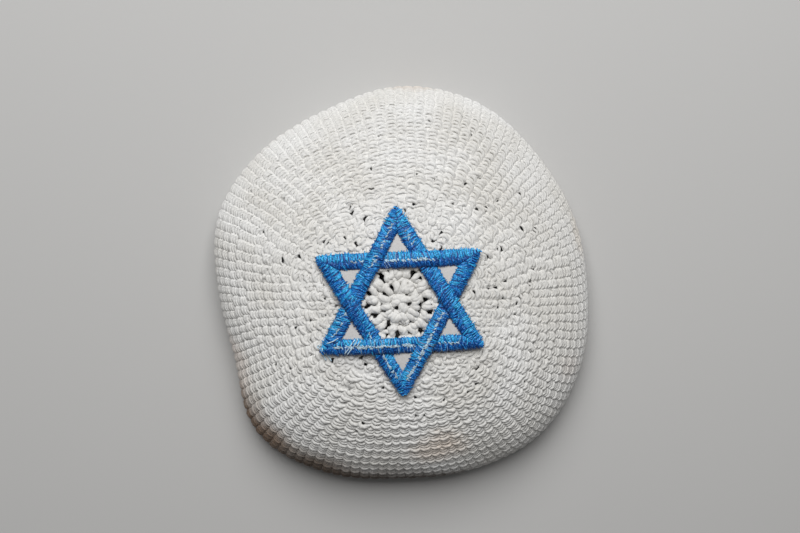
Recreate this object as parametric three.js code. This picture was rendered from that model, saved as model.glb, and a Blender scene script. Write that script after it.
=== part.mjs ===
// A crocheted skullcap (kippah) with an embroidered star on its crown.
// The cap is one hollow dome of cloth, worked outwards from the crown in rounds, soft and a little out of round.
// The star is two interlaced triangles of satin stitch on a felt backing that shows in its six small points.
// Millimetres, +Z up. The rim rests on z = 0, and the origin is the middle of the cap's plan box on that plane.
import * as THREE from 'three';

// Sizes of the cap, outside.
const crownReach = 88; // from the crown's centre to the widest part, the mean of all directions
const capHeight = 52; // from the surface that it rests on to the crown
const clothThickness = 3.4; // crocheted cloth, measured over a ridge
const rounds = 24; // rounds of stitches from the crown to the rim
const grooveDepth = 0.8; // valley between two rounds

// Sizes of the star.
const starInradius = 21.3; // from its centre to the outer edge of a band
const bandWidth = 6.6;
const bandHeight = 1.1; // satin stitch above the backing, at the middle of the band
const bandEdgeHeight = 0.45; // the same at the band's two edges
const pressedShare = 0.6; // height that a band keeps where the other one crosses over it
const tipTrim = 2; // rounded off each point
const backingThickness = 0.8;
const backingInset = 1.6; // the felt stays this far inside the bands' free edges
const starTurn = THREE.MathUtils.degToRad(2.4); // the star is sewn on a little askew, anticlockwise
const starStretch = 1.01; // its height against that of a regular star
const sewnGap = 0.3; // clearance between layers that are sewn together

// Fineness of the faceted surfaces.
const columns = 64; // around the cap
const liningRings = 14; // on the smooth inside
const meridianSteps = 96; // used to work out the profile
const backingSubdivisions = 2;
const legStations = 16; // along one leg of a triangle

// The cap's plan. clock is the direction from the crown's centre, in degrees clockwise from +Y, seen from above.
// reach is a share of crownReach. square is 0 where the shoulder is round and 1 where it is a ramp and a square edge.
const directions = [
  { clock: 0, reach: 1.045, square: 1 },
  { clock: 22.5, reach: 1.04, square: 1 },
  { clock: 45, reach: 0.99, square: 0.8 },
  { clock: 67.5, reach: 0.975, square: 0.6 },
  { clock: 90, reach: 0.975, square: 0.5 },
  { clock: 112.5, reach: 1.03, square: 0.35 },
  { clock: 135, reach: 1.07, square: 0.2 },
  { clock: 157.5, reach: 1.04, square: 0 },
  { clock: 180, reach: 1.015, square: 0 },
  { clock: 202.5, reach: 1.06, square: 0 },
  { clock: 225, reach: 1.075, square: 0.1 },
  { clock: 247.5, reach: 0.94, square: 0.3 },
  { clock: 270, reach: 0.945, square: 0.5 },
  { clock: 292.5, reach: 1.015, square: 0.7 },
  { clock: 315, reach: 1.01, square: 0.9 },
  { clock: 337.5, reach: 1, square: 1 },
];

// The cap's profile, as the slope of the cloth in degrees below level. way is the share of the way from the
// crown's centre (0) to the rim (1), along the cloth. Past 90 degrees the cloth tucks in under itself.
const slopes = [
  { way: 0, round: 0, square: 0 },
  { way: 0.2, round: 4, square: 6 },
  { way: 0.38, round: 11, square: 12 },
  { way: 0.54, round: 24, square: 15 },
  { way: 0.68, round: 35, square: 22 },
  { way: 0.78, round: 46, square: 50 },
  { way: 0.85, round: 63, square: 72 },
  { way: 0.91, round: 71, square: 88 },
  { way: 0.96, round: 76, square: 94 },
  { way: 0.98, round: 90, square: 90 },
  { way: 1, round: 90, square: 90 },
];

// A column of the plan table at any direction, by a smooth curve through its rows.
function planValue(column, clock) {
  const step = 360 / directions.length;
  const place = THREE.MathUtils.euclideanModulo(clock, 360) / step;
  const first = Math.floor(place);
  const t = place - first;
  const row = (offset) => directions[(first + offset + directions.length) % directions.length][column];
  const [a, b, c, d] = [row(-1), row(0), row(1), row(2)];
  return b + 0.5 * t * (c - a + t * (2 * a - 5 * b + 4 * c - d + t * (3 * (b - c) + d - a)));
}

// The cloth's slope in radians, between a round shoulder and a square one.
function slopeAt(way, square) {
  const next = Math.max(1, slopes.findIndex((row) => row.way >= way));
  const [low, high] = [slopes[next - 1], slopes[next]];
  const share = (way - low.way) / (high.way - low.way);
  const round = THREE.MathUtils.lerp(low.round, high.round, share);
  const squared = THREE.MathUtils.lerp(low.square, high.square, share);
  return THREE.MathUtils.degToRad(THREE.MathUtils.lerp(round, squared, square));
}

// The outside profile in one direction, in steps of equal length along the cloth, as points (out, up).
function meridian(clock) {
  const square = planValue('square', clock);
  const path = [new THREE.Vector2(0, 0)];
  for (let i = 0; i < meridianSteps; i++) {
    const slope = slopeAt((i + 0.5) / meridianSteps, square);
    path.push(path[i].clone().add(new THREE.Vector2(Math.cos(slope), -Math.sin(slope))));
  }
  const widest = Math.max(...path.map((point) => point.x));
  const drop = -path[meridianSteps].y;
  const reach = crownReach * planValue('reach', clock);
  return path.map((point) => new THREE.Vector2((point.x / widest) * reach, (1 + point.y / drop) * capHeight));
}

// A point of the profile, moved inwards, square to the cloth, by depth.
function profilePoint(path, way, depth) {
  const place = way * meridianSteps;
  const first = Math.min(meridianSteps - 1, Math.floor(place));
  const point = path[first].clone().lerp(path[first + 1], place - first);
  const before = path[Math.max(0, Math.round(place) - 1)];
  const after = path[Math.min(meridianSteps, Math.round(place) + 1)];
  const along = way === 0 ? new THREE.Vector2(1, 0) : after.clone().sub(before).normalize();
  return point.add(new THREE.Vector2(along.y, -along.x).multiplyScalar(depth));
}

const columnClocks = Array.from({ length: columns }, (_, j) => 90 - (j * 360) / columns);
const columnPaths = columnClocks.map(meridian);

// One ring of points around the cap, anticlockwise seen from above.
function ring(way, depth) {
  return columnPaths.map((path, j) => {
    const { x: out, y: up } = profilePoint(path, way, depth);
    const angle = THREE.MathUtils.degToRad(90 - columnClocks[j]);
    return new THREE.Vector3(out * Math.cos(angle), out * Math.sin(angle), up);
  });
}

function geometryOf(points, triangles) {
  const geometry = new THREE.BufferGeometry().setFromPoints(points);
  geometry.setIndex(triangles.flat());
  geometry.computeVertexNormals();
  return geometry;
}

// A closed skin through rings of equal size, from one point at its start to one at its end.
function skin(start, rings, end) {
  const size = rings[0].length;
  const points = [start, ...rings.flat(), end];
  const at = (i, j) => 1 + i * size + (j % size);
  const triangles = [];
  for (let j = 0; j < size; j++) {
    triangles.push([0, at(0, j), at(0, j + 1)]);
    for (let i = 0; i < rings.length - 1; i++) {
      triangles.push([at(i, j), at(i + 1, j), at(i + 1, j + 1)], [at(i, j), at(i + 1, j + 1), at(i, j + 1)]);
    }
    triangles.push([points.length - 1, at(rings.length - 1, j + 1), at(rings.length - 1, j)]);
  }
  return geometryOf(points, triangles);
}

// The crocheted dome: a ridge in the middle of each round, a groove between rounds, and a smooth inside.
function crownGeometry() {
  const outside = [];
  for (let i = 1; i <= 2 * rounds; i++) {
    outside.push(ring(i / (2 * rounds), i % 2 ? 0 : grooveDepth));
  }
  const inside = [];
  for (let i = liningRings; i >= 1; i--) {
    inside.push(ring(i / liningRings, clothThickness));
  }
  const crown = new THREE.Vector3(0, 0, capHeight - grooveDepth);
  const lining = new THREE.Vector3(0, 0, capHeight - clothThickness);
  return skin(crown, [...outside, ...inside], lining);
}

// Height of the cap's outside over a point of the plan, near the crown, where the dome has one height there.
function crownHeight(x, y) {
  const distance = Math.hypot(x, y);
  const path = meridian(90 - THREE.MathUtils.radToDeg(Math.atan2(y, x)));
  const next = Math.max(1, path.findIndex((point) => point.x >= distance));
  const share = (distance - path[next - 1].x) / (path[next].x - path[next - 1].x);
  return THREE.MathUtils.lerp(path[next - 1].y, path[next].y, share);
}

// A point of the star, laid on the cap: place is in the star's own plane, and rise is above the cap's cloth.
function onCrown(place, rise) {
  const stretched = place.clone().multiply(new THREE.Vector2(1, starStretch));
  const turned = stretched.rotateAround(new THREE.Vector2(), starTurn);
  return new THREE.Vector3(turned.x, turned.y, crownHeight(turned.x, turned.y) + rise);
}

const polar = (radius, degrees) =>
  new THREE.Vector2(radius, 0).rotateAround(new THREE.Vector2(), THREE.MathUtils.degToRad(degrees));

// Splits each triangle into four, so that a flat sheet can follow the dome.
function subdivide(points, triangles) {
  const middles = new Map();
  const middle = (a, b) => {
    const key = Math.min(a, b) + '-' + Math.max(a, b);
    if (!middles.has(key)) {
      middles.set(key, points.length);
      points.push(points[a].clone().lerp(points[b], 0.5));
    }
    return middles.get(key);
  };
  return triangles.flatMap(([a, b, c]) => {
    const [ab, bc, ca] = [middle(a, b), middle(b, c), middle(c, a)];
    return [[a, ab, ca], [ab, b, bc], [ca, bc, c], [ab, bc, ca]];
  });
}

// The felt: a six-pointed plate with a six-sided hole, laid on the crown.
function backingGeometry() {
  const edge = starInradius - backingInset;
  const tip = 2 * edge - tipTrim;
  const notch = edge / Math.cos(Math.PI / 6);
  const hole = (starInradius - bandWidth + backingInset) / Math.cos(Math.PI / 6);
  const points = [];
  let triangles = [];
  for (let side = 0; side < 6; side++) {
    const next = (side + 1) % 6;
    points.push(polar(hole, 60 * side), polar(notch, 60 * side), polar(tip, 60 * side + 30));
    const [inner, outer, point] = [3 * side, 3 * side + 1, 3 * side + 2];
    const [innerNext, outerNext] = [3 * next, 3 * next + 1];
    triangles.push([inner, outer, outerNext], [inner, outerNext, innerNext], [outer, point, outerNext]);
  }
  for (let i = 0; i < backingSubdivisions; i++) {
    triangles = subdivide(points, triangles);
  }
  const edges = new Set(triangles.flatMap(([a, b, c]) => [a + '-' + b, b + '-' + c, c + '-' + a]));
  const rim = [...edges].map((pair) => pair.split('-').map(Number)).filter(([a, b]) => !edges.has(b + '-' + a));
  const below = points.length;
  const solid = [
    ...triangles,
    ...triangles.map(([a, b, c]) => [below + a, below + c, below + b]),
    ...rim.flatMap(([a, b]) => [[a, below + a, below + b], [a, below + b, b]]),
  ];
  const top = points.map((place) => onCrown(place, sewnGap + backingThickness));
  const bottom = points.map((place) => onCrown(place, sewnGap));
  return geometryOf([...top, ...bottom], solid);
}

// A leg of a triangle, along the middle of its band, and how much of it the mitre at each end takes.
const legLength = 2 * Math.sqrt(3) * (starInradius - bandWidth / 2);
const mitreLength = bandWidth / 2 / Math.tan(Math.PI / 6) + bandHeight;

// Height of a band above its usual seat, and its own height, at a share of the way along a leg. The other
// triangle crosses it one third and two thirds of the way along, under it at the first and over it at the second.
function weave(share) {
  const reach = bandWidth / 2 / Math.sin(Math.PI / 3) + bandWidth / 2 / Math.tan(Math.PI / 3);
  const nearness = (crossing) => {
    const clear = (Math.abs(share - crossing) * legLength - reach) / (bandWidth / 2);
    return 1 - THREE.MathUtils.smoothstep(clear, 0, 1);
  };
  const lift = nearness(1 / 3) * (bandHeight * pressedShare + sewnGap);
  const thickness = 1 - nearness(2 / 3) * (1 - pressedShare);
  return { lift, thickness };
}

// One triangle of satin stitch: a low rounded band around three corners, first of them at the given direction.
function triangleGeometry(firstCorner) {
  const seat = sewnGap + backingThickness + sewnGap;
  const middle = 2 * (starInradius - bandWidth / 2);
  const section = [
    { across: -0.5, height: 0 },
    { across: 0.5, height: 0 },
    { across: 0.5, height: bandEdgeHeight },
    { across: 0.25, height: (bandEdgeHeight + 3 * bandHeight) / 4 },
    { across: 0, height: bandHeight },
    { across: -0.25, height: (bandEdgeHeight + 3 * bandHeight) / 4 },
    { across: -0.5, height: bandEdgeHeight },
  ];
  const rings = [];
  for (let corner = 0; corner < 3; corner++) {
    const from = polar(middle, firstCorner + 120 * corner);
    const to = polar(middle, firstCorner + 120 * (corner + 1));
    const outwards = polar(1, firstCorner + 120 * corner + 60);
    for (let i = 0; i < legStations; i++) {
      const run = THREE.MathUtils.lerp(mitreLength, legLength - mitreLength, (i - 1) / (legStations - 2));
      const share = i === 0 ? 0 : run / legLength;
      const { lift, thickness } = weave(share);
      const centre = from.clone().lerp(to, share);
      rings.push(section.map(({ across, height }) => {
        const place = i === 0 ? cornerPlace(from, across) : centre.clone().addScaledVector(outwards, across * bandWidth);
        return onCrown(place, seat + lift + height * thickness);
      }));
    }
  }
  return loop(rings);
}

// Where a section's point lies at a mitred corner, which is trimmed on its outside.
function cornerPlace(corner, across) {
  const outwards = corner.clone().normalize();
  const miter = 2 * across * bandWidth;
  return corner.clone().addScaledVector(outwards, miter - tipTrim * Math.max(0, 2 * across));
}

// A closed skin through rings that lead back to the first.
function loop(rings) {
  const size = rings[0].length;
  const at = (i, j) => (i % rings.length) * size + (j % size);
  const triangles = [];
  for (let i = 0; i < rings.length; i++) {
    for (let j = 0; j < size; j++) {
      triangles.push([at(i, j), at(i + 1, j + 1), at(i, j + 1)], [at(i, j), at(i + 1, j), at(i + 1, j + 1)]);
    }
  }
  return geometryOf(rings.flat(), triangles);
}

function named(name, geometry, colour, roughness) {
  const material = new THREE.MeshStandardMaterial({ color: new THREE.Color(...colour), roughness, metalness: 0 });
  const mesh = new THREE.Mesh(geometry, material);
  mesh.name = name;
  return mesh;
}

const cotton = [0.86, 0.85, 0.82];
const felt = [0.84, 0.84, 0.83];
const blueThread = [0.08, 0.33, 0.72];

const crown = named('crown', crownGeometry(), cotton, 0.9);
const kippah = new THREE.Group();
kippah.add(
  crown,
  named('star_backing', backingGeometry(), felt, 0.95),
  named('star_triangle_up', triangleGeometry(90), blueThread, 0.5),
  named('star_triangle_down', triangleGeometry(30), blueThread, 0.5),
);

crown.geometry.computeBoundingBox();
const planBox = crown.geometry.boundingBox;
kippah.position.set(-(planBox.min.x + planBox.max.x) / 2, -(planBox.min.y + planBox.max.y) / 2, 0);

export default kippah;
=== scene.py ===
"""A crocheted cotton skullcap with a star of blue satin stitch on its crown, resting on its rim and seen from
above.

The yarn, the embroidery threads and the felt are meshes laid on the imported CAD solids, which give their
places. Metres throughout. A round is one turn of stitches, a stitch is one loop of yarn in it, and way is the
share of the distance from the crown's centre (0) to the rim (1), measured along the cloth.
"""
import math

import bpy
import numpy as np
from mathutils.bvhtree import BVHTree
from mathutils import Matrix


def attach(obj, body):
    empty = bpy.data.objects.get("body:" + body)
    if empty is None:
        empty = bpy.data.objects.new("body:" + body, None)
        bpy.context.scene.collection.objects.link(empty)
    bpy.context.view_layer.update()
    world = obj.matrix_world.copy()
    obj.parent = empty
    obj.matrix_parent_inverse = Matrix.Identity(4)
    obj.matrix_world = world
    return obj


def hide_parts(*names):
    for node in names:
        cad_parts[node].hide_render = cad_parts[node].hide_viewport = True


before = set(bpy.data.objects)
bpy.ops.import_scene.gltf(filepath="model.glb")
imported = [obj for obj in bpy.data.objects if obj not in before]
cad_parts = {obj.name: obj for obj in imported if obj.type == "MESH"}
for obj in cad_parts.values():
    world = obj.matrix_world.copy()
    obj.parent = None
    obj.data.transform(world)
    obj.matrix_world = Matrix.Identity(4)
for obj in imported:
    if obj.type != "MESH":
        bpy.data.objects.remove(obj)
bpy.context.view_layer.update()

MM = 0.001
SEED = 20

# Camera: the photograph looks almost straight down, leaning a little towards its own top side.
LENS_MM = 60
SENSOR_MM = 36
PHOTO_WIDTH = 800
CAMERA_DISTANCE = 0.600
CAMERA_LEAN = math.radians(7)
AIM_HEIGHT = 0.015
AIM_RIGHT_PX = 2  # where the photograph has the aimed point, from its middle
AIM_DOWN_PX = 22.5

# Crochet.
ROUNDS = 24
LARGE_ROUNDS = 3  # at the start, where the yarn is worked more loosely
LARGE_ROUND = 5.2 * MM
RIM_STITCHES = 126
RIDGE_LIFT = 0.4 * MM  # from the mean of the solid's ridges and grooves to its ridges
PUFF_ROUNDS = 5  # with each stitch of a few fat strands; the rounds after them have more and smaller ones
BARE_ROUNDS = 4  # with no yarn behind the gaps between the stitches
COLUMN_ROUND = 18  # from here out the stitches are as even as at the rim
FIRST_COLUMN_ROUND = 6  # from here out each stitch stands in the column of one outside it
COLUMN_LEAN = 0.10  # how far a column moves on in a round, anticlockwise from above, as a share of a stitch
COLUMN_SCATTER = 0.035  # of the columns at the rim, as the next two in shares of a stitch
EVEN_SCATTER = 0.025  # of a stitch from COLUMN_ROUND out
UNEVEN_SCATTER = 0.07  # of a stitch before it
COLUMN_GROOVE = 0.5 * MM  # how much lower than its middle a fat stitch is beside the next column
COLUMN_EVENNESS = 0.4  # how far a round's columns are evened out, from the ones outside it (0) to even (1)
JOIN_SCATTER = 4  # stitches over which the place of a joined pair is random
SHELL_THICKNESS = 0.8 * MM
# How deep the yarn behind the stitches lies below the surface, by round, in millimetres.
SHELL_DEPTH = [
    {"round": 5, "depth": 1.5},
    {"round": 7, "depth": 1.05},
    {"round": 14, "depth": 1.05},
    {"round": 18, "depth": 1.5},
]
# Open holes, by round: the share of stitches that have one beside them, and its half width in millimetres.
HOLES = [
    {"round": 1, "share": 0.60, "reach": 0.42},
    {"round": 2, "share": 0.90, "reach": 0.42},
    {"round": 4, "share": 0.85, "reach": 0.36},
    {"round": 5, "share": 0.55, "reach": 0.32},
    {"round": 7, "share": 0.36, "reach": 0.30},
    {"round": 10, "share": 0.24, "reach": 0.26},
    {"round": 15, "share": 0.05, "reach": 0.20},
    {"round": 20, "share": 0.0, "reach": 0.15},
]

# The strands that one fine stitch shows on the outside, from the rim inwards. place and sag are shares of the
# round's height, radius, depth and cusp_depth millimetres. A strand is an arc that bulges to the rim, highest
# in its middle.
STRANDS = [
    {"place": 0.66, "sag": 0.30, "radius": 0.68, "depth": 0.58, "cusp_depth": 2.10, "sides": 8, "steps": 7},
    {"place": 0.42, "sag": 0.29, "radius": 0.58, "depth": 0.86, "cusp_depth": 2.15, "sides": 6, "steps": 7},
    {"place": 0.18, "sag": 0.27, "radius": 0.53, "depth": 1.12, "cusp_depth": 2.20, "sides": 6, "steps": 6},
]
SOFT_DEPTH = 0.84  # millimetres, towards which the strands' depths go in the softer middle rounds
SOFT_SPREAD = 0.22  # how much further apart the strands of a stitch lie there
SOFT_SHARE = 0.7  # how far the depths go towards SOFT_DEPTH
SOFT_RADIUS = 0.40  # how much thicker the strands are there
SOFT_CUSP = 0.08  # how much less deep the ends of the strands lie there
LOOSE_CUSP = 0.14  # the same for a loosely worked round
SOFT_ROUNDS = (16, 22)  # the rounds over which the softness ends
LOOSE_ROUNDS = (7, 17)  # the rounds over which the stitches go from loosely to tightly worked
LOOSENESS = (0.85, 0.15)  # of the first and the last of those rounds
INSIDE_STRANDS = [
    {"place": 0.45, "sag": 0.30, "radius": 0.75, "depth": 2.70, "cusp_depth": 2.25, "sides": 6, "steps": 6},
]
# The fat strands of a stitch of the inner rounds. from and to are u and v of a strand's ends: u is the share
# of the stitch's width from its middle, v the share of the round's height. bow, radius and depth are shares
# of that height too.
PUFFS = [
    {"from": (-0.13, -0.06), "to": (-0.25, 0.80), "bow": 0.0, "radius": 0.29, "depth": 0.17, "sides": 8},
    {"from": (0.13, -0.06), "to": (0.25, 0.80), "bow": 0.0, "radius": 0.29, "depth": 0.17, "sides": 8},
    {"from": (-0.44, 0.76), "to": (0.44, 0.76), "bow": 0.18, "radius": 0.22, "depth": 0.22, "sides": 6},
]
# The same for the rounds between the inner ones and the fine arcs: two legs, two loops and a crossing.
KNOTS = [
    {"from": (-0.08, -0.10), "to": (-0.30, 0.50), "bow": 0.0, "radius": 0.215, "depth": 0.19, "sides": 6},
    {"from": (0.08, -0.10), "to": (0.30, 0.50), "bow": 0.0, "radius": 0.215, "depth": 0.19, "sides": 6},
    {"from": (-0.46, 0.44), "to": (-0.10, 0.86), "bow": 0.04, "radius": 0.200, "depth": 0.19, "sides": 6},
    {"from": (0.46, 0.44), "to": (0.10, 0.86), "bow": 0.04, "radius": 0.200, "depth": 0.19, "sides": 6},
    {"from": (-0.20, 0.36), "to": (0.20, 0.44), "bow": 0.10, "radius": 0.175, "depth": 0.20, "sides": 6},
]
# By round: how far a fat stitch is turned in the cloth at random, in degrees; the drop from the middle of a
# fat strand to its ends, in millimetres; and its height over its width.
PUFF_SHAPE = [
    {"round": 4, "turn": 24, "drop": 0.80, "flat": 0.80},
    {"round": 8, "turn": 10, "drop": 0.40, "flat": 0.56},
]
PUFF_STEPS = 7  # points along a strand of PUFFS
KNOT_STEPS = 5  # and of KNOTS
PUFF_MIDDLE = 0.45  # the v about which a fat stitch is turned
PUFF_LIFT = 0.6 * MM  # in the star's middle, where the cloth swells between the bands
FAT_TO_FINE = (6, 11)  # the rounds over which the fat stitches give way to the fine arcs
# Pieces of the outside crochet, by the first and last round of each.
BANDS = [
    {"name": "crochet_centre", "first": 1, "last": 10},
    {"name": "crochet_shoulder", "first": 11, "last": 15},
    {"name": "crochet_side", "first": 16, "last": 19},
    {"name": "crochet_rim", "first": 20, "last": ROUNDS},
]

# Star.
BAND_WIDTH = 6.6 * MM
TIP_TRIM = 2.0 * MM
BAND_SHOULDER = 0.94  # the share of a band's half width past which the threads drop to its side
THREAD_PITCH = 0.36 * MM
THREAD_RADIUS = 0.24 * MM
THREAD_WANDER = 0.42  # radians that the threads lean from square to their band
THREAD_STEPS = 5
THREAD_SIDES = 6
THREAD_CLUMPS = 24  # places along a leg between which the threads' lean changes
THREAD_SHORTEST = 0.7 * MM
LIT_SIDE = np.array([0.0, 1.0])  # the side in plan towards which the threads are painted paler, as light, and away from which darker, as shade
SHADED_SIDE_DARKEST = 0.12  # painted shade of a thread that faces away from it
# how much paler a thread facing LIT_SIDE is painted, as light
LIT_SIDE_RISE = 0.72
DYE_SCATTER = 0.28
PALE_SHARE = 0.12  # of the threads in the densest white run
CORE_INSET = 0.16 * MM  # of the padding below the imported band's surface
RAY_TOP = 0.2  # where downward rays start
STAR_TOP = 0.055  # just above the star
ROOT = math.sqrt(3)
# The threads' blues from dark to light: where a lane lies between them is painted by how it faces LIT_SIDE,
# as light and shade, with a random spread in tone. The padding under the threads takes the dark one.
BLUE_DARK = (0.001, 0.056, 0.28)
BLUE_MIDDLE = (0.003, 0.19, 0.62)
BLUE_LIGHT = (0.04, 0.48, 0.86)
# Pale cyan: the white threads, partly painted highlight where they run along the bands' ridges; the loose
# ends are white thread.
WHITE_THREAD_AND_GLINT = (0.56, 0.74, 0.86)
# Where white threads show along the middle of a band, partly white thread and partly painted highlight on its
# ridge. leg counts from the triangle's first corner, which is the upper one or the upper right one,
# anticlockwise;
# from and to are shares of the leg, share is how dense.
WHITE_AND_GLINT_RUNS = [
    {"triangle": "up", "leg": 0, "from": 0.04, "to": 0.40, "share": 0.30},
    {"triangle": "up", "leg": 0, "from": 0.66, "to": 0.92, "share": 0.35},
    {"triangle": "up", "leg": 1, "from": 0.04, "to": 0.66, "share": 0.90},
    {"triangle": "up", "leg": 1, "from": 0.66, "to": 0.92, "share": 0.20},
    {"triangle": "up", "leg": 2, "from": 0.62, "to": 0.90, "share": 0.25},
    {"triangle": "down", "leg": 0, "from": 0.26, "to": 0.60, "share": 0.75},
    {"triangle": "down", "leg": 0, "from": 0.62, "to": 0.84, "share": 0.35},
    {"triangle": "down", "leg": 1, "from": 0.55, "to": 0.92, "share": 0.45},
    {"triangle": "down", "leg": 2, "from": 0.05, "to": 0.58, "share": 0.80},
]
# Loose ends of white thread, as points in millimetres from the crown's centre.
LOOSE_ENDS = [
    [(-35.4, -19.4), (-34.1, -18.9), (-32.9, -19.6), (-33.2, -21.1), (-32.9, -23.0), (-31.6, -25.4)],
    [(-35.4, -19.7), (-33.4, -21.2), (-31.8, -22.6), (-30.2, -24.0), (-29.3, -25.7)],
    [(-19.0, -15.6), (-20.4, -17.4), (-21.6, -19.4), (-23.4, -21.8)],
    [(-17.8, -15.2), (-19.0, -17.8), (-20.9, -20.2), (-22.6, -22.6)],
    [(-16.6, -16.0), (-18.2, -18.6)],
    [(-31.0, -17.6), (-28.4, -16.6), (-26.2, -15.2)],
]

# Cotton.
PLIES = 3
PLY_TURNS = 0.15  # of a ply around its strand, in a millimetre along it
PATCH_RAGGED = 0.7  # how much the clouds move the edge of a stain or of the painted rim shade
PATCH_FADE = (1.32, 0.72)  # where a stain or the painted rim shade starts and is full, in shares of its reach, clouds added
# Old stains in the cotton, and in the last three rows a painted shade on the lower rim: middle and reach in
# millimetres along X, Y and Z, colour, and greatest strength.
STAINS_AND_RIM_SHADE = [
    {"middle": (14, -64, 30), "reach": (19, 17, 17), "colour": (0.68, 0.51, 0.37), "strength": 0.45},
    {"middle": (4, 89, 12), "reach": (13, 13, 13), "colour": (0.62, 0.50, 0.40), "strength": 0.35},
    {"middle": (78, 22, 14), "reach": (14, 14, 14), "colour": (0.66, 0.55, 0.42), "strength": 0.25},
    {"middle": (-74, -34, 14), "reach": (18, 20, 20), "colour": (0.66, 0.53, 0.45), "strength": 0.35},
    {"middle": (70, -33, 20), "reach": (14, 14, 14), "colour": (0.66, 0.54, 0.48), "strength": 0.25},
    # The last three: dark brown along the lower rim, darker towards the bottom, partly a brown stain and
    # partly painted shadow where the flank turns under, away from the key light.
    {"middle": (-62, -66, 6), "reach": (29, 29, 36), "colour": (0.22, 0.135, 0.080), "strength": 0.92},
    {"middle": (-36, -82, 6), "reach": (34, 24, 36), "colour": (0.145, 0.097, 0.064), "strength": 0.92},
    {"middle": (2, -89, 6), "reach": (40, 20, 35), "colour": (0.115, 0.085, 0.066), "strength": 0.90},
]

# Studio.
KEY_LIGHT = {"location": (-0.01, 0.58, 0.84), "size": 0.70, "power": 10.2}
LIGHT_AIM_HEIGHT = 0.02
WORLD_LIGHT = 0.10
FLOOR_REACH = 4.0
FLOOR_GREY = (0.57, 0.565, 0.555)


def node_arrays(name):
    """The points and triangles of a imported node."""
    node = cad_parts[name]
    mesh = node.data
    points = np.empty(len(mesh.vertices) * 3)
    mesh.vertices.foreach_get("co", points)
    matrix = np.array(node.matrix_world)
    points = points.reshape(-1, 3) @ matrix[:3, :3].T + matrix[:3, 3]
    mesh.calc_loop_triangles()
    triangles = np.empty(len(mesh.loop_triangles) * 3, dtype=np.int32)
    mesh.loop_triangles.foreach_get("vertices", triangles)
    return points, triangles.reshape(-1, 3)


def tree_of(points, triangles):
    return BVHTree.FromPolygons(points.tolist(), triangles.tolist())


def by_round(table, key, number):
    """A value between the rows of a table, by round."""
    return float(np.interp(number, [row["round"] for row in table], [row[key] for row in table]))


def unit(vectors):
    return vectors / np.maximum(np.linalg.norm(vectors, axis=-1, keepdims=True), 1e-12)


class Cloth:
    """The cap's outside as a smooth surface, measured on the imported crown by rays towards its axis."""

    COLUMNS = 128
    STEPS = 240
    RAYS = 200
    REACH = 0.3

    def __init__(self):
        points, triangles = node_arrays("crown")
        tree = tree_of(points, triangles)
        backing = node_arrays("star_backing")[0]
        self.foot = (backing.min(axis=0) + backing.max(axis=0)) / 2 * (1, 1, 0)
        profiles = [self.profile(tree, column / self.COLUMNS) for column in range(self.COLUMNS)]
        self.points = np.array(profiles)
        self.points[:, 0] = self.points[:, 0].mean(axis=0)
        lengths = np.linalg.norm(np.diff(self.points, axis=1), axis=2).sum(axis=1)
        self.length = lengths.mean()
        around = np.roll(self.points, -1, axis=0) - np.roll(self.points, 1, axis=0)
        outwards = np.gradient(self.points, axis=1)
        self.normals = unit(np.cross(around, outwards) * -1)
        self.normals[:, 0] = (0, 0, 1)

    def profile(self, tree, turn):
        """One line of the surface from the crown's centre to the rim, in equal steps along the cloth."""
        angle = 2 * math.pi * turn
        line = []
        for elevation in np.linspace(math.pi / 2, math.radians(0.2), self.RAYS):
            level = math.cos(elevation)
            towards = np.array([math.cos(angle) * level, math.sin(angle) * level, math.sin(elevation)])
            hit = tree.ray_cast(tuple(self.foot + towards * self.REACH), tuple(-towards))[0]
            line.append(hit)
        line = self.evenly(np.array(line))
        window = self.STEPS // ROUNDS
        before = line[1 : window + 1][::-1].copy()
        before[:, :2] = 2 * line[0, :2] - before[:, :2]
        after = 2 * line[-1] - line[-window - 1 : -1][::-1]
        padded = np.concatenate([before, line, after])
        kernel = np.hanning(window + 2)[1:-1]
        kernel /= kernel.sum()
        smooth = np.stack([np.convolve(padded[:, i], kernel, mode="same") for i in range(3)], axis=1)
        smooth = self.evenly(smooth[window:-window])
        smooth[-1, 2] = 0
        return smooth

    def evenly(self, line):
        """The line's points moved along it to equal steps."""
        way = np.concatenate([[0], np.cumsum(np.linalg.norm(np.diff(line, axis=0), axis=1))])
        even = np.linspace(0, way[-1], self.STEPS + 1)
        return np.stack([np.interp(even, way, line[:, i]) for i in range(3)], axis=1)

    def at(self, way, turn, depth):
        """Points at a way and a turn, depth below the surface, with the surface's normals there."""
        row = np.clip(way, 0, 1) * self.STEPS
        row_low = np.minimum(row.astype(int), self.STEPS - 1)
        column = np.mod(turn, 1) * self.COLUMNS
        column_low = column.astype(int) % self.COLUMNS
        column_high = (column_low + 1) % self.COLUMNS
        a = (row - row_low)[..., None]
        b = (column - np.floor(column))[..., None]

        def mixed(grid):
            low = grid[column_low, row_low] * (1 - a) + grid[column_low, row_low + 1] * a
            high = grid[column_high, row_low] * (1 - a) + grid[column_high, row_low + 1] * a
            return low * (1 - b) + high * b

        normal = unit(mixed(self.normals))
        return mixed(self.points) + normal * (RIDGE_LIFT - depth)[..., None], normal


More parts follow.
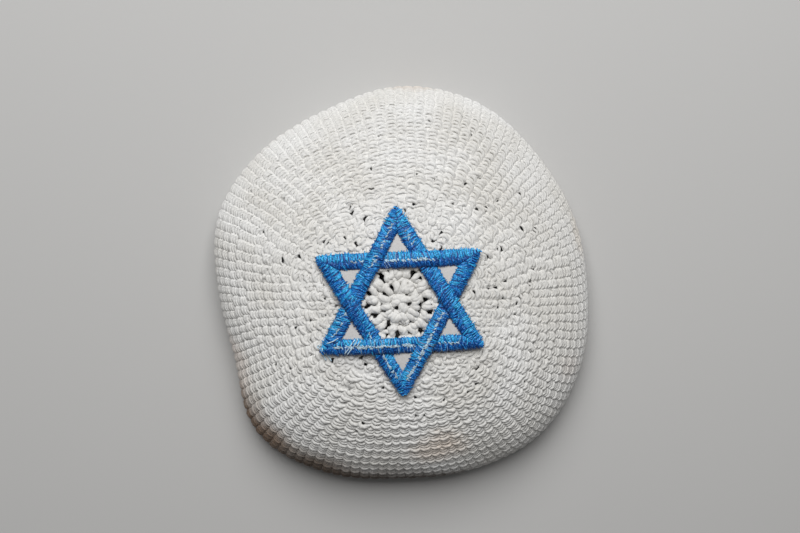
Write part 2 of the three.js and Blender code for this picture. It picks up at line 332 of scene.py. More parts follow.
def quad_object(name, points, quads, uv=None, colours=None):
    """A mesh object of quads, with smooth shading, a UV map along its yarn and a colour for each point."""
    mesh = bpy.data.meshes.new(name)
    mesh.vertices.add(len(points))
    mesh.vertices.foreach_set("co", np.ascontiguousarray(points, dtype=np.float32).ravel())
    mesh.loops.add(quads.size)
    mesh.loops.foreach_set("vertex_index", np.ascontiguousarray(quads, dtype=np.int32).ravel())
    mesh.polygons.add(len(quads))
    mesh.polygons.foreach_set("loop_start", np.arange(0, quads.size, 4, dtype=np.int32))
    if uv is not None:
        layer = mesh.uv_layers.new(name="yarn")
        layer.uv.foreach_set("vector", np.ascontiguousarray(uv, dtype=np.float32).ravel())
    if colours is not None:
        layer = mesh.color_attributes.new("dye_and_shade", "FLOAT_COLOR", "POINT")
        rgba = np.concatenate([colours, np.ones((len(colours), 1))], axis=1)
        layer.data.foreach_set("color", rgba.astype(np.float32).ravel())
    mesh.update(calc_edges=True)
    mesh.shade_smooth()
    piece = bpy.data.objects.new(name, mesh)
    bpy.context.scene.collection.objects.link(piece)
    return piece


def tubes(paths, normals, radii, sides, flat=1.0):
    """Closed tubes along paths (count, steps, 3), as points, quads and UVs. flat is height over width."""
    count, steps, _ = paths.shape
    along = unit(np.gradient(paths, axis=1))
    across = unit(np.cross(along, normals))
    up = np.cross(across, along)
    angles = np.arange(sides) * 2 * math.pi / sides
    ring = (
        across[:, :, None] * np.cos(angles)[None, None, :, None]
        + up[:, :, None] * np.sin(angles)[None, None, :, None] * flat
    )
    points = paths[:, :, None] + ring * radii[:, :, None, None]
    index = np.arange(count * steps * sides).reshape(count, steps, sides)
    wrapped = np.roll(index, -1, axis=2)
    walls = np.stack([index[:, :-1], wrapped[:, :-1], wrapped[:, 1:], index[:, 1:]], axis=-1).reshape(-1, 4)
    fan = np.array([[0, i, i + 1, i + 2] for i in range(1, sides - 2, 2)])
    starts = index[:, 0][:, fan[:, ::-1]].reshape(-1, 4)
    ends = index[:, -1][:, fan].reshape(-1, 4)
    lengths = np.linalg.norm(np.diff(paths, axis=1), axis=2)
    run = np.concatenate([np.zeros((count, 1)), np.cumsum(lengths, axis=1)], axis=1) / MM
    u_low = np.broadcast_to(np.arange(sides) / sides, (count, steps - 1, sides))
    v_low = np.broadcast_to(run[:, :-1, None], (count, steps - 1, sides))
    v_high = np.broadcast_to(run[:, 1:, None], (count, steps - 1, sides))
    u = np.stack([u_low, u_low + 1 / sides, u_low + 1 / sides, u_low], axis=-1)
    v = np.stack([v_low, v_low, v_high, v_high], axis=-1)
    wall_uv = np.stack([u, v], axis=-1).reshape(-1, 2)
    cap_uv = np.zeros(((len(starts) + len(ends)) * 4, 2))
    return points.reshape(-1, 3), np.concatenate([walls, starts, ends]), np.concatenate([wall_uv, cap_uv])


def joined(parts):
    """Several (points, quads, uv) as one."""
    first = np.cumsum([0] + [len(points) for points, _, _ in parts[:-1]])
    points = np.concatenate([points for points, _, _ in parts])
    quads = np.concatenate([quads + start for (_, quads, _), start in zip(parts, first)])
    return points, quads, np.concatenate([uv for _, _, uv in parts])


def above_floor(points):
    """The points, with those below the floor raised to it."""
    return np.maximum(points, (-np.inf, -np.inf, 0))


def stitch_count(number):
    """Stitches in a round: six more each round at first, then a little more, up to the rim's count."""
    if number <= 6:
        return 6 * number
    return min(RIM_STITCHES, round(7.5 * number - 9))


class Pattern:
    """Where each stitch of the cap lies, and which gaps between stitches are open."""

    def __init__(self, cloth):
        rng = np.random.default_rng(SEED)
        share = LARGE_ROUND / cloth.length
        large = np.arange(LARGE_ROUNDS) * share
        fine = np.linspace(LARGE_ROUNDS * share, 1, ROUNDS - LARGE_ROUNDS + 1)
        self.edges = np.concatenate([large, fine])
        self.rounds = {}
        column_shift = rng.normal(0, COLUMN_SCATTER, RIM_STITCHES)
        columns = self.columns()
        phase = 0.0
        for number in range(1, ROUNDS + 1):
            count = stitch_count(number)
            if number >= COLUMN_ROUND:
                uneven = rng.normal(0, EVEN_SCATTER, count) + column_shift
            else:
                uneven = rng.normal(0, UNEVEN_SCATTER, count)
            if number < FIRST_COLUMN_ROUND:
                phase += 0.5 / count
                turn, wide = np.arange(count) / count + phase + uneven / count, np.ones(count)
            else:
                turn, wide = self.between_neighbours(columns[number] + uneven / count)
            self.rounds[number] = {
                "count": count,
                "turn": turn,
                "wide": wide,
                "size": rng.normal(1, 0.06, count),
                "turned": rng.normal(0, 1, count),
                "loose": float(np.interp(number, LOOSE_ROUNDS, LOOSENESS)),
                "soft": float(np.interp(number, SOFT_ROUNDS, (1, 0))),
                "fat": rng.random(count) < np.interp(number, FAT_TO_FINE, (1, 0)),
            }
        self.rng = rng
        self.holes = []
        for number, row in self.rounds.items():
            found = np.flatnonzero(rng.random(row["count"]) < by_round(HOLES, "share", number))
            turn = row["turn"][found] + (0.5 + rng.normal(0, 0.15, len(found))) / row["count"]
            low, high = self.edges[number - 1], self.edges[number]
            way = low + (high - low) * rng.normal(0.62, 0.22, len(found))
            centres, normals = cloth.at(way, turn, np.full(len(found), 0.5 * MM))
            reach = by_round(HOLES, "reach", number) * rng.uniform(0.7, 1.35, len(found))
            keys = ("centre", "normal", "way", "turn", "reach")
            for values in zip(centres, normals, way, turn, reach):
                self.holes.append({"round": number, **dict(zip(keys, values))})

    def columns(self):
        """The turns of each round's stitches, from the rim inwards.

        A round goes on with the columns of the round outside it, joins some in pairs, and evens them out.
        """
        rng = np.random.default_rng(SEED + 1)
        turns = {ROUNDS: np.arange(RIM_STITCHES) / RIM_STITCHES}
        for number in range(ROUNDS - 1, FIRST_COLUMN_ROUND - 1, -1):
            outer = turns[number + 1] - COLUMN_LEAN / stitch_count(number + 1)
            count = stitch_count(number)
            joins = len(outer) - count
            if joins:
                spread = np.linspace(0, len(outer) - 1, joins, endpoint=False)
                spread = spread + rng.uniform(0, JOIN_SCATTER, joins)
                kept = spread.astype(int)
                outer[kept] = (outer[kept] + outer[kept + 1]) / 2
                outer = np.roll(np.delete(outer, kept + 1), rng.integers(count))
                outer[: np.argmin(outer)] -= 1
            even = np.arange(count) / count
            even = even + (outer - even).mean()
            turns[number] = (1 - COLUMN_EVENNESS) * outer + COLUMN_EVENNESS * even
        return turns

    def between_neighbours(self, turns):
        """Stitches moved to the middle of the space between their neighbours, and its width over the mean."""
        ends = (turns + np.append(turns[1:], turns[0] + 1)) / 2
        starts = np.append(ends[-1] - 1, ends[:-1])
        return (starts + ends) / 2, (ends - starts) * len(turns)

    def parted(self, points, radii, number):
        """Strands pushed aside by the holes of the rounds near them."""
        for hole in self.holes:
            if abs(hole["round"] - number) > 2:
                continue
            away = points - hole["centre"]
            level = away - (away @ hole["normal"])[..., None] * hole["normal"]
            distance = np.linalg.norm(level, axis=-1)
            limit = hole["reach"] * MM + radii
            pushed = np.where(distance < 1.5 * limit, limit + distance / 3, distance)
            near = np.linalg.norm(away, axis=-1) < 8 * MM
            pushed = np.where(near, pushed, distance)
            points = points + level * (pushed / np.maximum(distance, 1e-6) - 1)[..., None]
        return points

    def strand_tubes(self, cloth, number, strand, chosen=slice(None)):
        """The tubes of one strand of each chosen stitch in a round."""
        row, rng = self.rounds[number], self.rng
        low, high = self.edges[number - 1], self.edges[number]
        count, loose = row["count"], row["loose"]
        shift, tilt, sag, rise, lean = rng.normal(0, 1, (5, count, 1)) * loose
        t = np.linspace(-1, 1, strand["steps"] + 1)[None, :]
        u = np.sin(t * math.pi / 2) * 0.485
        bulge = np.cos(t * math.pi / 2 - lean * 0.25 * np.cos(t * math.pi / 2))
        place = strand["place"] - SOFT_SPREAD * row["soft"] * (STRANDS[0]["place"] - strand["place"])
        v = place + 0.07 * shift + strand["sag"] * (1 + 0.35 * sag) * bulge + 0.35 * tilt * u
        way = low + v * (high - low)
        turn = row["turn"][:, None] + u * row["wide"][:, None] / count
        crest = strand["depth"] + (SOFT_DEPTH - strand["depth"]) * SOFT_SHARE * row["soft"]
        cusp = strand["cusp_depth"] * (1 - SOFT_CUSP * row["soft"] - LOOSE_CUSP * loose)
        depth = cusp + (crest - cusp) * np.clip(bulge, 0, 1) ** 0.7
        points, normals = cloth.at(way, turn, (depth - 0.12 * rise) * MM)
        thickness = strand["radius"] * MM * row["size"][:, None] * (1 + SOFT_RADIUS * row["soft"])
        radii = thickness * (0.78 + 0.22 * bulge)
        points, normals, radii = points[chosen], normals[chosen], radii[chosen]
        return tubes(self.parted(points, radii, number), normals, radii, strand["sides"])

    def puff_tubes(self, cloth, number, puff):
        """The tubes of one fat strand of each fat stitch in a round."""
        row, rng = self.rounds[number], self.rng
        low, high = self.edges[number - 1], self.edges[number]
        count = row["count"]
        height = (high - low) * cloth.length
        width = 2 * math.pi * (low + high) / 2 * cloth.length / count
        wander = rng.normal(0, 1, (6, count, 1))
        t = np.linspace(0, 1, PUFF_STEPS if number <= PUFF_ROUNDS else KNOT_STEPS)[None, :]
        arch = np.sin(t * math.pi)
        (u_from, v_from), (u_to, v_to) = puff["from"], puff["to"]
        u = u_from + 0.05 * wander[0] + (u_to - u_from + 0.08 * wander[1]) * t
        v = v_from + 0.06 * wander[2] + (v_to - v_from + 0.08 * wander[3]) * t
        v = v + (puff["bow"] + 0.06 * wander[4]) * arch
        across, along = u * width, (v - PUFF_MIDDLE) * height
        turned = math.radians(by_round(PUFF_SHAPE, "turn", number)) * row["turned"][:, None]
        turned = turned * min(1, number / LARGE_ROUNDS)
        across, along = (
            across * np.cos(turned) - along * np.sin(turned),
            across * np.sin(turned) + along * np.cos(turned),
        )
        way = np.abs(low + (along / height + PUFF_MIDDLE) * (high - low))
        turn = row["turn"][:, None] + across / width * row["wide"][:, None] / count
        drop = by_round(PUFF_SHAPE, "drop", number) * MM
        depth = puff["depth"] * height - 0.25 * drop * wander[5] + drop * (1 - arch) ** 2
        if number <= BARE_ROUNDS:
            depth = depth - PUFF_LIFT
        if number >= FIRST_COLUMN_ROUND:
            depth = depth + COLUMN_GROOVE * np.minimum(1, 2 * np.abs(across / width)) ** 2
        points, normals = cloth.at(way, turn, depth)
        radii = puff["radius"] * height * row["size"][:, None] * (0.68 + 0.32 * arch ** 0.6)
        points, normals, radii = points[row["fat"]], normals[row["fat"]], radii[row["fat"]]
        flat = by_round(PUFF_SHAPE, "flat", number)
        return tubes(self.parted(points, radii, number), normals, radii, puff["sides"], flat)


def crochet_pieces(cloth, pattern, cotton):
    pieces = []
    for band in BANDS:
        numbers = range(band["first"], band["last"] + 1)
        parts = []
        for number in numbers:
            fat = pattern.rounds[number]["fat"]
            if fat.any():
                puffs = PUFFS if number <= PUFF_ROUNDS else KNOTS
                parts += [pattern.puff_tubes(cloth, number, puff) for puff in puffs]
            if not fat.all():
                parts += [pattern.strand_tubes(cloth, number, strand, ~fat) for strand in STRANDS]
        points, quads, uv = joined(parts)
        pieces.append(quad_object(band["name"], above_floor(points), quads, uv))
    numbers = range(BARE_ROUNDS + 1, ROUNDS + 1)
    parts = [pattern.strand_tubes(cloth, n, strand) for n in numbers for strand in INSIDE_STRANDS]
    points, quads, uv = joined(parts)
    pieces.append(quad_object("crochet_inside", above_floor(points), quads, uv))
    pieces.append(base_shell(cloth, pattern))
    for piece in pieces:
        piece.data.materials.append(cotton)
        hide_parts("crown")
    return pieces


def base_shell(cloth, pattern):
    """The yarn deep in the cloth, as a thin closed sheet with an opening at each open gap."""
    rows, columns = 2 * ROUNDS, RIM_STITCHES
    present = np.ones((rows, columns), dtype=bool)
    present[: 2 * BARE_ROUNDS] = False
    edges = np.interp(np.arange(rows + 1) / 2, np.arange(ROUNDS + 1), pattern.edges)
    for hole in pattern.holes:
        row = min(np.searchsorted(edges, hole["way"]) - 1, rows - 1)
        present[row, int(np.mod(hole["turn"], 1) * columns)] = False
    way, turn = np.meshgrid(edges, np.arange(columns) / columns, indexing="ij")
    depth = np.array([by_round(SHELL_DEPTH, "depth", i / 2) for i in range(rows + 1)])[:, None] * MM
    skins = [cloth.at(way, turn, depth + extra + 0 * way)[0] for extra in (0, SHELL_THICKNESS)]
    points = np.concatenate([skin.reshape(-1, 3) for skin in skins])
    index = np.arange((rows + 1) * columns).reshape(rows + 1, columns)
    below = index + (rows + 1) * columns
    quads = []
    for i in range(rows):
        for j in range(columns):
            if not present[i, j]:
                continue
            k = (j + 1) % columns
            a, b, c, d = index[i, j], index[i + 1, j], index[i + 1, k], index[i, k]
            quads.append([a, b, c, d])
            e, f, g, h = below[i, j], below[i + 1, j], below[i + 1, k], below[i, k]
            quads.append([h, g, f, e])
            if i == 0 or not present[i - 1, j]:
                quads.append([d, h, e, a])
            if i == rows - 1 or not present[i + 1, j]:
                quads.append([b, f, g, c])
            if not present[i, j - 1]:
                quads.append([a, e, f, b])
            if not present[i, k]:
                quads.append([c, g, h, d])
    quads = np.array(quads)
    used, quads = np.unique(quads, return_inverse=True)
    quads = quads.reshape(-1, 4)
    return quad_object("crochet_base", above_floor(points[used]), quads, np.zeros((quads.size, 2)))


def star_corners(points, first_clock):
    """The three corners of a satin triangle's middle line, anticlockwise from the given clock direction."""
    plan = points[:, :2]
    centre = (plan.min(axis=0) + plan.max(axis=0)) / 2
    angle = math.radians(90 - first_clock)
    for _ in range(3):
        corners = []
        for i in range(3):
            direction = angle + i * 2 * math.pi / 3
            towards = np.array([math.cos(direction), math.sin(direction)])
            near = (plan - centre) @ towards
            tip = plan[near > near.max() - 0.3 * MM].mean(axis=0)
            corners.append(tip)
        centre = np.mean(corners, axis=0)
    inwards = BAND_WIDTH - TIP_TRIM
    return [tip - unit(tip - centre) * inwards for tip in corners]


class BandTop:
    """The height of a band's top over the plan, with a fall past its edges."""

    def __init__(self, points, triangles):
        self.tree = tree_of(points, triangles)

    def heights(self, plan):
        heights = []
        for x, y in plan.reshape(-1, 2):
            hit = self.tree.ray_cast((x, y, RAY_TOP), (0, 0, -1))[0]
            if hit is None:
                near = self.tree.find_nearest((x, y, STAR_TOP))[0]
                gap = math.hypot(near.x - x, near.y - y)
                heights.append(near.z - min(gap, 0.6 * MM))
            else:
                heights.append(hit.z)
        return np.array(heights).reshape(plan.shape[:-1])


def thread_starts(leg, rng):
    """Random places along a leg for one lane of threads, a little past its corners."""
    reach = BAND_WIDTH * ROOT / 2
    count = int((leg + 2 * reach) / THREAD_PITCH)
    return np.linspace(-reach, leg + reach, count) + rng.normal(0, 0.25 * THREAD_PITCH, count)


class Leg:
    """One leg of a triangle of satin stitch: its middle line, and its directions in plan."""

    def __init__(self, start, end):
        self.start = start
        self.length = np.linalg.norm(end - start)
        self.along = (end - start) / self.length
        self.out = np.array([self.along[1], -self.along[0]])

    def plan(self, place, across):
        """Points in plan, from their places along the leg and across it."""
        return self.start + self.along * place[..., None] + self.out * across[..., None]


def narrowed(limits, base, slope):
    """The limits of t narrowed to where base + slope * t is positive."""
    low, high = limits
    level = np.abs(slope) < 1e-9
    cut = -base / np.where(level, 1e-9, slope)
    low = np.where(slope > 0, np.maximum(low, cut), low)
    high = np.where(slope < 0, np.minimum(high, cut), high)
    return low, np.where(level & (base < 0), -1, high)


def lane_threads(leg, lane, runs, top, rng):
    """The slanting threads on the outer (1) or inner (-1) half of a leg, and their colours."""
    s = thread_starts(leg.length, rng)
    half = BAND_WIDTH / 2
    shoulder = BAND_SHOULDER * half
    a_edge = lane * (half + rng.normal(0.08, 0.36, len(s)) * MM)
    a_inner = -lane * rng.normal(0.25, 0.35, len(s)) * MM
    across = a_inner - a_edge
    clumps = np.interp(s, np.linspace(s[0], s[-1], THREAD_CLUMPS), rng.normal(0, 1, THREAD_CLUMPS))
    slant = THREAD_WANDER * (0.35 + 0.6 * clumps) + rng.normal(0, 0.16, len(s))
    run_along = across * np.tan(np.clip(slant, -1, 1))
    limits = (np.zeros(len(s)), np.ones(len(s)))
    for sign, offset in ((1, s), (-1, leg.length - s)):
        # The mitre to the next leg, then the band's trimmed tip, as an obtuse point.
        limits = narrowed(limits, offset + ROOT * a_edge, sign * run_along + ROOT * across)
        past = BAND_WIDTH - TIP_TRIM + rng.normal(0.25, 0.25, len(s)) * MM
        base = past + (offset * (ROOT - 1) - a_edge * (1 + ROOT)) / 2
        limits = narrowed(limits, base, (sign * run_along * (ROOT - 1) - across * (1 + ROOT)) / 2)
    low, high = limits
    keep = (high - low) * np.hypot(run_along, across) > THREAD_SHORTEST
    t = low[keep, None] + (high - low)[keep, None] * np.linspace(0, 1, THREAD_STEPS)[None, :]
    a = a_edge[keep, None] + across[keep, None] * t
    place = s[keep, None] + run_along[keep, None] * t
    held = leg.plan(np.clip(place, 0, leg.length), np.clip(np.abs(a), 0, shoulder) * np.sign(a))
    hump = np.sin(np.clip(np.abs(a) / half, 0, 1) * math.pi)
    z = top.heights(held) + (0.30 * hump - 0.05) * MM - np.maximum(0, np.abs(a) - shoulder)
    z = z + rng.normal(0, 0.05 * MM, len(z))[:, None]
    # Painted light and shade: a lane facing LIT_SIDE gets a paler blue, a lane facing away a darker one.
    facing = 0.5 + 0.5 * float(leg.out @ LIT_SIDE) * lane
    shade = SHADED_SIDE_DARKEST + LIT_SIDE_RISE * facing ** 0.75 + rng.normal(0, DYE_SCATTER, len(z))
    colour = mixed_blue(np.clip(shade, 0, 1))
    # Some threads of the white runs are mixed towards pale cyan, partly white thread and partly painted
    # highlight.
    share = place.mean(axis=1) / leg.length
    pale = np.zeros(len(z), dtype=bool)
    for run in runs:
        chance = rng.random(len(z)) < run["share"] * PALE_SHARE
        pale |= (share > run["from"]) & (share < run["to"]) & chance
    colour[pale] = (colour[pale] + np.array(WHITE_THREAD_AND_GLINT) * 0.8) / 2
    return np.concatenate([leg.plan(place, a), z[..., None]], axis=-1), colour


def satin_piece(name, node, first_clock, key, cloth):
    """One triangle of satin stitch, as two lanes of slanting threads on each leg, clipped at the mitres."""
    rng = np.random.default_rng(SEED + len(key))
    points, triangles = node_arrays(node)
    top = BandTop(points, triangles)
    corners = star_corners(points, first_clock)
    paths, colours = [], []
    for number in range(3):
        leg = Leg(corners[number], corners[(number + 1) % 3])
        runs = [run for run in WHITE_AND_GLINT_RUNS if run["triangle"] == key and run["leg"] == number]
        for lane in (-1, 1):
            lane_paths, colour = lane_threads(leg, lane, runs, top, rng)
            paths.append(lane_paths)
            colours.append(colour)
        for run in runs:
            white_paths = middle_threads(run, leg, top, rng)
            paths.append(white_paths)
            colours.append(np.array(WHITE_THREAD_AND_GLINT) * rng.uniform(0.55, 1.1, (len(white_paths), 1)))
    paths = np.concatenate(paths)
    colours = np.clip(np.concatenate(colours), 0, 1)
    radii = THREAD_RADIUS * rng.normal(1, 0.1, (len(paths), 1)) * np.array([[0.7, 1, 1, 1, 0.7]])
    core_points, core_quads = band_core(points, triangles)
    parts = [
        tubes(paths, upwards(paths), radii, THREAD_SIDES, flat=0.75),
        (core_points, core_quads, np.zeros((core_quads.size, 2))),
    ]
    dyes_and_shade = [
        np.repeat(colours, THREAD_STEPS * THREAD_SIDES, axis=0),
        np.tile(BLUE_DARK, (len(core_points), 1)),
    ]
    if key == "up":
        parts.append(loose_ends(cloth.foot[:2]))
        dyes_and_shade.append(np.tile(WHITE_THREAD_AND_GLINT, (len(parts[-1][0]), 1)))
    points, quads, uv = joined(parts)
    return quad_object(name, points, quads, uv, np.concatenate(dyes_and_shade))


def upwards(paths):
    """A normal straight up for each point of the paths."""
    return np.broadcast_to(np.array([0.0, 0.0, 1.0]), paths.shape)


def mixed_blue(shade):
    """Thread colours from dark (0) through middle (0.5) to light (1)."""
    shade = shade[:, None]
    low = np.array(BLUE_DARK) * (1 - 2 * shade) + np.array(BLUE_MIDDLE) * 2 * shade
    high = np.array(BLUE_MIDDLE) * (2 - 2 * shade) + np.array(BLUE_LIGHT) * (2 * shade - 1)
    return np.where(shade < 0.5, low, high)


def middle_threads(run, leg, top, rng):
    """Short white threads along the middle of a band, partly painted highlight on its ridge."""
    count = int((run["to"] - run["from"]) * leg.length / THREAD_PITCH * run["share"] * 1.3)
    s = rng.uniform(run["from"], run["to"], count) * leg.length
    a = rng.normal(0, 0.30, count) * MM
    slant = rng.normal(0.7, 0.45, count)
    length = rng.uniform(0.8, 1.7, count) * MM
    t = np.linspace(-0.5, 0.5, THREAD_STEPS)[None, :]
    place = s[:, None] + t * (length * np.cos(slant))[:, None]
    across = a[:, None] + t * (length * np.sin(slant))[:, None]
    plan = leg.plan(place, across)
    z = top.heights(plan) + (0.16 + 0.14 * np.cos(t * math.pi)) * MM
    return np.concatenate([plan, z[..., None]], axis=-1)


def loose_ends(middle):
    """The loose white threads, lying over the star and the crochet beside it."""
    names = ("crown", "star_triangle_up", "star_triangle_down")
    trees = [tree_of(*node_arrays(name)) for name in names]
    paths = []
    for row in LOOSE_ENDS:
        plan = np.array(row) * MM + middle
        even = np.linspace(0, len(plan) - 1, 13)
        plan = np.stack([np.interp(even, np.arange(len(plan)), plan[:, i]) for i in range(2)], axis=1)
        plan[1:-1] = (plan[:-2] + 2 * plan[1:-1] + plan[2:]) / 4
        heights = []
        for x, y in plan:
            hits = [tree.ray_cast((x, y, RAY_TOP), (0, 0, -1))[0] for tree in trees]
            heights.append(max(hit.z for hit in hits if hit is not None))
        heights = np.array(heights)
        heights[1:-1] = np.maximum(heights[1:-1], (heights[:-2] + heights[2:]) / 2)
        paths.append(np.concatenate([plan, heights[:, None] + 0.55 * MM], axis=1))
    paths = np.array(paths)
    return tubes(paths, upwards(paths), np.full(paths.shape[:2], 0.26 * MM), THREAD_SIDES)


def merged(points, triangles):
    """The same triangles, with corners that are at one place as one point."""
    points, inverse = np.unique(np.round(points, 7), axis=0, return_inverse=True)
    return points, inverse.reshape(-1)[triangles]


def as_quads(points, triangles, centres):
    """Three quads for each triangle, around its given centre."""
    points = list(points)
    mids = {}

    def between(i, j):
        pair = (min(i, j), max(i, j))
        if pair not in mids:
            mids[pair] = len(points)
            points.append((points[i] + points[j]) / 2)
        return mids[pair]

    quads = []
    for (i, j, k), middle in zip(triangles.tolist(), centres):
        ij, jk, ki = between(i, j), between(j, k), between(k, i)
        points.append(middle)
        centre = len(points) - 1
        quads += [[i, ij, centre, ki], [j, jk, centre, ij], [k, ki, centre, jk]]
    return np.array(points), np.array(quads)


def band_core(points, triangles):
    """The padding under the threads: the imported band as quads, a little smaller than it."""
    points, triangles = merged(points, triangles)
    a, b, c = (points[triangles[:, i]] for i in range(3))
    face = np.cross(b - a, c - a)
    normals = np.zeros_like(points)
    for i in range(3):
        np.add.at(normals, triangles[:, i], face)
    centres = (a + b + c) / 3 - unit(face) * CORE_INSET
    return as_quads(points - unit(normals) * CORE_INSET, triangles, centres)


def felt_piece(felt):
    """The backing cloth, from its packed plate, finely divided and a little uneven."""
    rng = np.random.default_rng(SEED + 9)
    points, triangles = merged(*node_arrays("star_backing"))
    points, quads = as_quads(points, triangles, points[triangles].sum(axis=1) / 3)
    points[:, 2] += rng.normal(0, 0.03 * MM, len(points))
    piece = quad_object("felt_backing", points, quads, np.zeros((quads.size, 2)))
    piece.data.materials.append(felt)
    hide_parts("star_backing")
    return piece


def material(name, roughness, sheen=0.0, sheen_roughness=0.5, specular=0.5):
    """A new node material and its shader, with the values that are the same all over it."""
    made = bpy.data.materials.new(name)
    made.use_nodes = True
    shader = made.node_tree.nodes["Principled BSDF"]
    shader.inputs["Roughness"].default_value = roughness
    shader.inputs["Sheen Weight"].default_value = sheen
    shader.inputs["Sheen Roughness"].default_value = sheen_roughness
    shader.inputs["Specular IOR Level"].default_value = specular
    return made, shader


def node(made, kind, **values):
    """A new node, with values for its sockets by name and for its settings."""
    new = made.node_tree.nodes.new(kind)
    for key, value in values.items():
        if key in new.inputs:
            new.inputs[key].default_value = value
        else:
            setattr(new, key, value)
    return new


def computed(made, operation, *terms):
    """The result of one math node, from numbers and other nodes' outputs."""
    step = node(made, "ShaderNodeMath", operation=operation)
    for socket, term in zip(step.inputs, terms):
        if isinstance(term, bpy.types.NodeSocket):
            made.node_tree.links.new(term, socket)
        else:
            socket.default_value = term
    return step.outputs[0]


def noise(made, scale, detail):
    """Noise over the part's own space."""
    place = node(made, "ShaderNodeTexCoord")
    step = node(made, "ShaderNodeTexNoise", Scale=scale, Detail=detail)
    made.node_tree.links.new(place.outputs["Object"], step.inputs["Vector"])
    return step.outputs["Fac"]


def stretched(made, source, start, end, low, high, kind="LINEAR"):
    """A source's values from start to end, as values from low to high."""
    step = node(made, "ShaderNodeMapRange", interpolation_type=kind)
    for key, value in (("From Min", start), ("From Max", end), ("To Min", low), ("To Max", high)):
        step.inputs[key].default_value = value
    made.node_tree.links.new(source, step.inputs["Value"])
    return step.outputs["Result"]


def ramp(made, source, start, first, end, last):
    """A source's values from start to end, as colours from first to last."""
    step = node(made, "ShaderNodeValToRGB")
    for element, place, colour in zip(step.color_ramp.elements, (start, end), (first, last)):
        element.position = place
        element.color = (*colour, 1)
    made.node_tree.links.new(source, step.inputs["Fac"])
    return step.outputs["Color"]


def scaled(made, colour, factor):
    """A colour times a factor."""
    step = node(made, "ShaderNodeVectorMath", operation="SCALE")
    made.node_tree.links.new(colour, step.inputs[0])
    made.node_tree.links.new(factor, step.inputs["Scale"])
    return step.outputs["Vector"]


def blended(made, factor, colour, other):
    """A colour mixed with another, fixed one."""
    step = node(made, "ShaderNodeMix", data_type="RGBA")
    made.node_tree.links.new(factor, step.inputs["Factor"])
    made.node_tree.links.new(colour, step.inputs["A"])
    step.inputs["B"].default_value = (*other, 1)
    return step.outputs["Result"]


def bumped(made, height, strength, distance, normal=None):
    """A normal with a bump on it, over another normal where one is given."""
    step = node(made, "ShaderNodeBump", Strength=strength, Distance=distance)
    made.node_tree.links.new(height, step.inputs["Height"])
    if normal is not None:
        made.node_tree.links.new(normal, step.inputs["Normal"])
    return step.outputs["Normal"]


def cotton_material():
    """White cotton yarn: fine fibres, plies along each strand, soft old stains, and painted shade on the
    lower rim.
    """
    made, shader = material("cotton_yarn", 0.85, sheen=0.25, sheen_roughness=0.4, specular=0.3)
    link = made.node_tree.links.new
    yarn = node(made, "ShaderNodeUVMap", uv_map="yarn")
    split = node(made, "ShaderNodeSeparateXYZ")
    link(yarn.outputs["UV"], split.inputs[0])
    run = computed(made, "MULTIPLY", split.outputs["Y"], PLY_TURNS)
    twist = computed(made, "ADD", split.outputs["X"], run)
    plies = computed(made, "SINE", computed(made, "MULTIPLY", twist, 2 * math.pi * PLIES))
    lumps = noise(made, 1100, 3)
    clouds = noise(made, 38, 3)
    normal = bumped(made, plies, 0.40, 0.00016)
    normal = bumped(made, lumps, 0.28, 0.00030, normal)
    normal = bumped(made, noise(made, 2600, 2), 0.4, 0.00012, normal)
    link(normal, shader.inputs["Normal"])
    tint = ramp(made, clouds, 0.35, (0.74, 0.725, 0.69), 0.65, (0.82, 0.815, 0.80))
    colour = scaled(made, tint, stretched(made, lumps, 0.35, 0.65, 0.93, 1.04))
    for patch in STAINS_AND_RIM_SHADE:
        colour = stained_or_shaded(made, clouds, colour, patch)
    link(colour, shader.inputs["Base Color"])
    return made


def stained_or_shaded(made, clouds, colour, patch):
    """The colour with one soft patch mixed in: an old stain, and for the dark rim rows painted shadow as
    well.
    """
    link = made.node_tree.links.new
    place = node(made, "ShaderNodeTexCoord")
    share = node(made, "ShaderNodeVectorMath", operation="MULTIPLY")
    share.inputs[1].default_value = [1 / (x * MM) for x in patch["reach"]]
    link(place.outputs["Object"], share.inputs[0])
    away = node(made, "ShaderNodeVectorMath", operation="DISTANCE")
    away.inputs[1].default_value = [a / b for a, b in zip(patch["middle"], patch["reach"])]
    link(share.outputs["Vector"], away.inputs[0])
    ragged = computed(made, "MULTIPLY_ADD", clouds, PATCH_RAGGED, away.outputs["Value"])
    fade = stretched(made, ragged, *PATCH_FADE, 0, patch["strength"], kind="SMOOTHSTEP")
    return blended(made, fade, colour, patch["colour"])


def satin_material():
    """Embroidery thread: each thread's own dye with its painted light and shade, a soft gloss, and painted
    glints.
    """
    made, shader = material("satin_thread", 0.42, sheen=0.04, sheen_roughness=0.3, specular=0.40)
    link = made.node_tree.links.new
    dye_and_shade = node(made, "ShaderNodeVertexColor", layer_name="dye_and_shade")
    grain = noise(made, 1900, 1)
    # The grain speckles the colour lighter and darker, partly random tone and partly painted glints off the
    # threads.
    colour = scaled(made, dye_and_shade.outputs["Color"], stretched(made, grain, 0.3, 0.7, 0.42, 1.50))
    # Painted highlights: where the grain is highest the colour is mixed towards pale cyan, as glints of
    # light.
    painted_glints = stretched(made, grain, 0.58, 0.74, 0, 0.55, kind="SMOOTHSTEP")
    link(blended(made, painted_glints, colour, (0.32, 0.68, 0.92)), shader.inputs["Base Color"])
    link(bumped(made, grain, 0.3, 0.00008), shader.inputs["Normal"])
    return made


def felt_material():
    """Smooth white felt with a fine, matted grain."""
    made, shader = material("white_felt", 0.95, sheen=0.3, sheen_roughness=0.6, specular=0.2)
    grain = noise(made, 1800, 3)
    tint = ramp(made, grain, 0.3, (0.58, 0.565, 0.55), 0.7, (0.68, 0.665, 0.65))
    made.node_tree.links.new(tint, shader.inputs["Base Color"])
    made.node_tree.links.new(bumped(made, grain, 0.4, 0.0001), shader.inputs["Normal"])
    return made


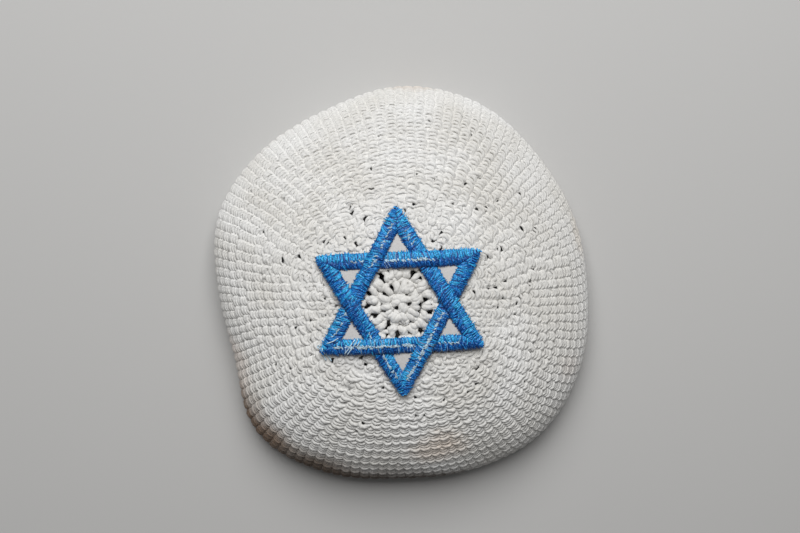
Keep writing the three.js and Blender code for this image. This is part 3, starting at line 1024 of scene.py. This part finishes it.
def star_pieces(cloth):
    satin = satin_material()
    pieces = [
        satin_piece("satin_triangle_up", "star_triangle_up", 0, "up", cloth),
        satin_piece("satin_triangle_down", "star_triangle_down", 60, "down", cloth),
    ]
    for piece, replaced in zip(pieces, ("star_triangle_up", "star_triangle_down")):
        piece.data.materials.append(satin)
        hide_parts(replaced)
    return pieces + [felt_piece(felt_material())]


def camera():
    """The photograph's view."""
    data = bpy.data.cameras.new("camera")
    data.lens = LENS_MM
    data.sensor_width = SENSOR_MM
    data.shift_x = -AIM_RIGHT_PX / PHOTO_WIDTH
    data.shift_y = AIM_DOWN_PX / PHOTO_WIDTH
    data.clip_start = 0.01
    made = bpy.data.objects.new("camera", data)
    made.rotation_euler = (-CAMERA_LEAN, 0, 0)
    made.location = (
        0,
        CAMERA_DISTANCE * math.sin(CAMERA_LEAN),
        AIM_HEIGHT + CAMERA_DISTANCE * math.cos(CAMERA_LEAN),
    )
    bpy.context.scene.collection.objects.link(made)
    bpy.context.scene.camera = made


def area_light(name, location, size, power):
    """A square light that faces the cap."""
    data = bpy.data.lights.new(name, "AREA")
    data.size = size
    data.energy = power
    made = bpy.data.objects.new(name, data)
    made.location = location
    away = made.location.copy()
    away.z -= LIGHT_AIM_HEIGHT
    made.rotation_mode = "QUATERNION"
    made.rotation_quaternion = away.to_track_quat("Z", "Y")
    bpy.context.scene.collection.objects.link(made)


def studio():
    """A plain pale floor, and a soft key from the photograph's top side in a dim even light."""
    mesh = bpy.data.meshes.new("floor")
    corners = [(FLOOR_REACH * x, FLOOR_REACH * y, 0) for x, y in ((-1, -1), (1, -1), (1, 1), (-1, 1))]
    mesh.from_pydata(corners, [], [(0, 1, 2, 3)])
    floor = bpy.data.objects.new("floor", mesh)
    bpy.context.scene.collection.objects.link(floor)
    made, shader = material("floor_paint", 0.9, specular=0.2)
    shader.inputs["Base Color"].default_value = (*FLOOR_GREY, 1)
    mesh.materials.append(made)
    area_light("key", **KEY_LIGHT)
    world = bpy.data.worlds.new("world")
    world.use_nodes = True
    world.node_tree.nodes["Background"].inputs["Color"].default_value = (1, 1, 1, 1)
    world.node_tree.nodes["Background"].inputs["Strength"].default_value = WORLD_LIGHT
    bpy.context.scene.world = world
    bpy.context.scene.view_settings.view_transform = "Standard"


camera()
studio()
cloth = Cloth()
pieces = crochet_pieces(cloth, Pattern(cloth), cotton_material()) + star_pieces(cloth)
for piece in pieces:
    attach(piece, "root")
